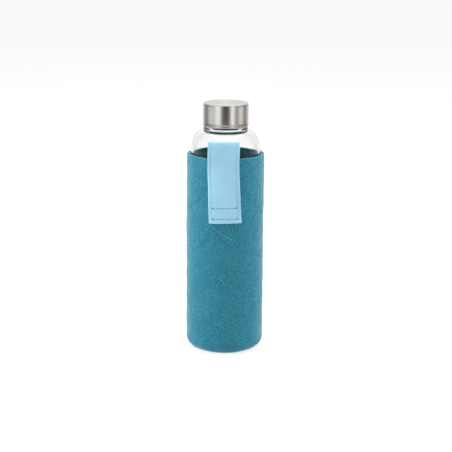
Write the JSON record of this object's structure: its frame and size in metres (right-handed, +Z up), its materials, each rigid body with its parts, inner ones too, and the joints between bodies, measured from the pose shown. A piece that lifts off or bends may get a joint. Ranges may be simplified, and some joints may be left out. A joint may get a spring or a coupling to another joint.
{
  "type": "glass water bottle",
  "caption": "Clear glass water bottle with a brushed-steel screw cap, standing in a quilted felt sleeve that has a folded leatherette pull strap.",
  "frame": {"origin": "centre of the sleeve's flat underside, on the bottle's axis", "axes": "+Z up along the bottle's axis, -Y towards the strap (the front), +X to the right seen from the front"},
  "size_m": [0.0716, 0.0733, 0.2305],
  "materials": {
    "glass": "clear, polished",
    "brushed_steel": "brushed around the side, satin top",
    "liner_plastic": "moulded, matte",
    "silicone": "translucent white, matte",
    "felt": "brushed felt, mottled",
    "quilt_thread": "polyester sewing thread",
    "strap_leather": "smooth leatherette, satin",
    "strap_backing": "plain leatherette back, matte",
    "strap_thread": "polyester sewing thread"
  },
  "bodies": {
    "sleeve": {"sleeve_wall": "felt", "sleeve_base": "felt", "quilt_thread_rising": "quilt_thread", "quilt_thread_falling": "quilt_thread", "back_seam_thread": "quilt_thread", "base_seam_thread": "quilt_thread", "strap_face": "strap_leather", "strap_lining": "strap_backing", "strap_edge_thread_left": "strap_thread", "strap_edge_thread_right": "strap_thread", "strap_anchor_thread_upper": "strap_thread", "strap_anchor_thread_lower": "strap_thread"},
    "bottle": {"glass_bottle": "glass"},
    "seal": {"cap_seal": "silicone"},
    "cap": {"cap_shell": "brushed_steel", "cap_insert": "liner_plastic"}
  },
  "joints": [
    {"name": "bottle_lift", "type": "slide", "parent": "sleeve", "child": "bottle", "axis": [0, 0, 1], "range_m": [0, 0.2]},
    {"name": "cap_rise", "type": "slide", "parent": "bottle", "child": "seal", "axis": [0, 0, 1], "range_m": [0, 0.052]},
    {"name": "cap_turn", "type": "hinge", "parent": "seal", "child": "cap", "pos_m": [0, 0, 0.2195], "axis": [0, 0, 1], "range_deg": [0, 2340]}
  ],
  "couplings": [
    {"joint": "cap_rise", "follows": "cap_turn", "m_per_rad": 0.0012732}
  ]
}
